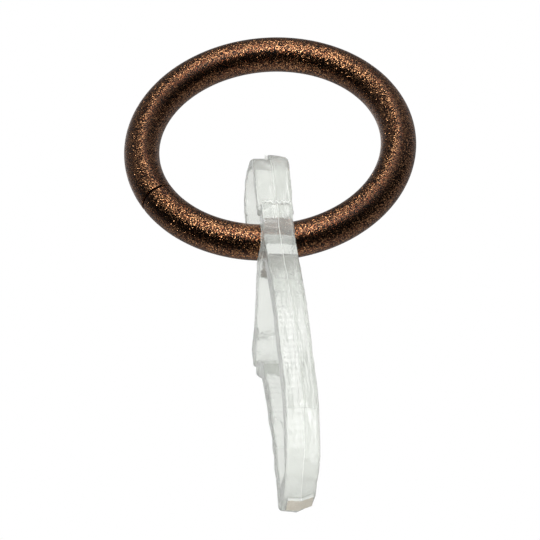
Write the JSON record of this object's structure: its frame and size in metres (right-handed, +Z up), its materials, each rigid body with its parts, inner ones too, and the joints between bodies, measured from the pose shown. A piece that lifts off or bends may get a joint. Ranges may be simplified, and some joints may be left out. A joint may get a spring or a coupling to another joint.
{
  "type": "curtain ring with hook",
  "caption": "Round wire curtain ring with a butt joint, carrying a clear moulded clip-on hook that swings on the wire and holds a curtain's tape in its closed lower loop.",
  "frame": {"origin": "centre of the ring", "axes": "+Y along the rod through the ring, away from the side that the picture shows, +Z up, with the hook hanging from the ring's lowest point"},
  "size_m": [0.033, 0.0157, 0.0681],
  "materials": {
    "bronze_paint": "satin metallic paint with fine copper flakes on steel wire",
    "clear_plastic": "clear glossy moulding"
  },
  "bodies": {
    "ring": {"ring": "bronze_paint"},
    "hook": {"hook": "clear_plastic"}
  },
  "joints": [
    {"name": "hook_swing", "type": "hinge", "parent": "ring", "child": "hook", "pos_m": [0, 0, -0.0145], "axis": [1, 0, 0], "range_deg": [-90, 90]}
  ]
}
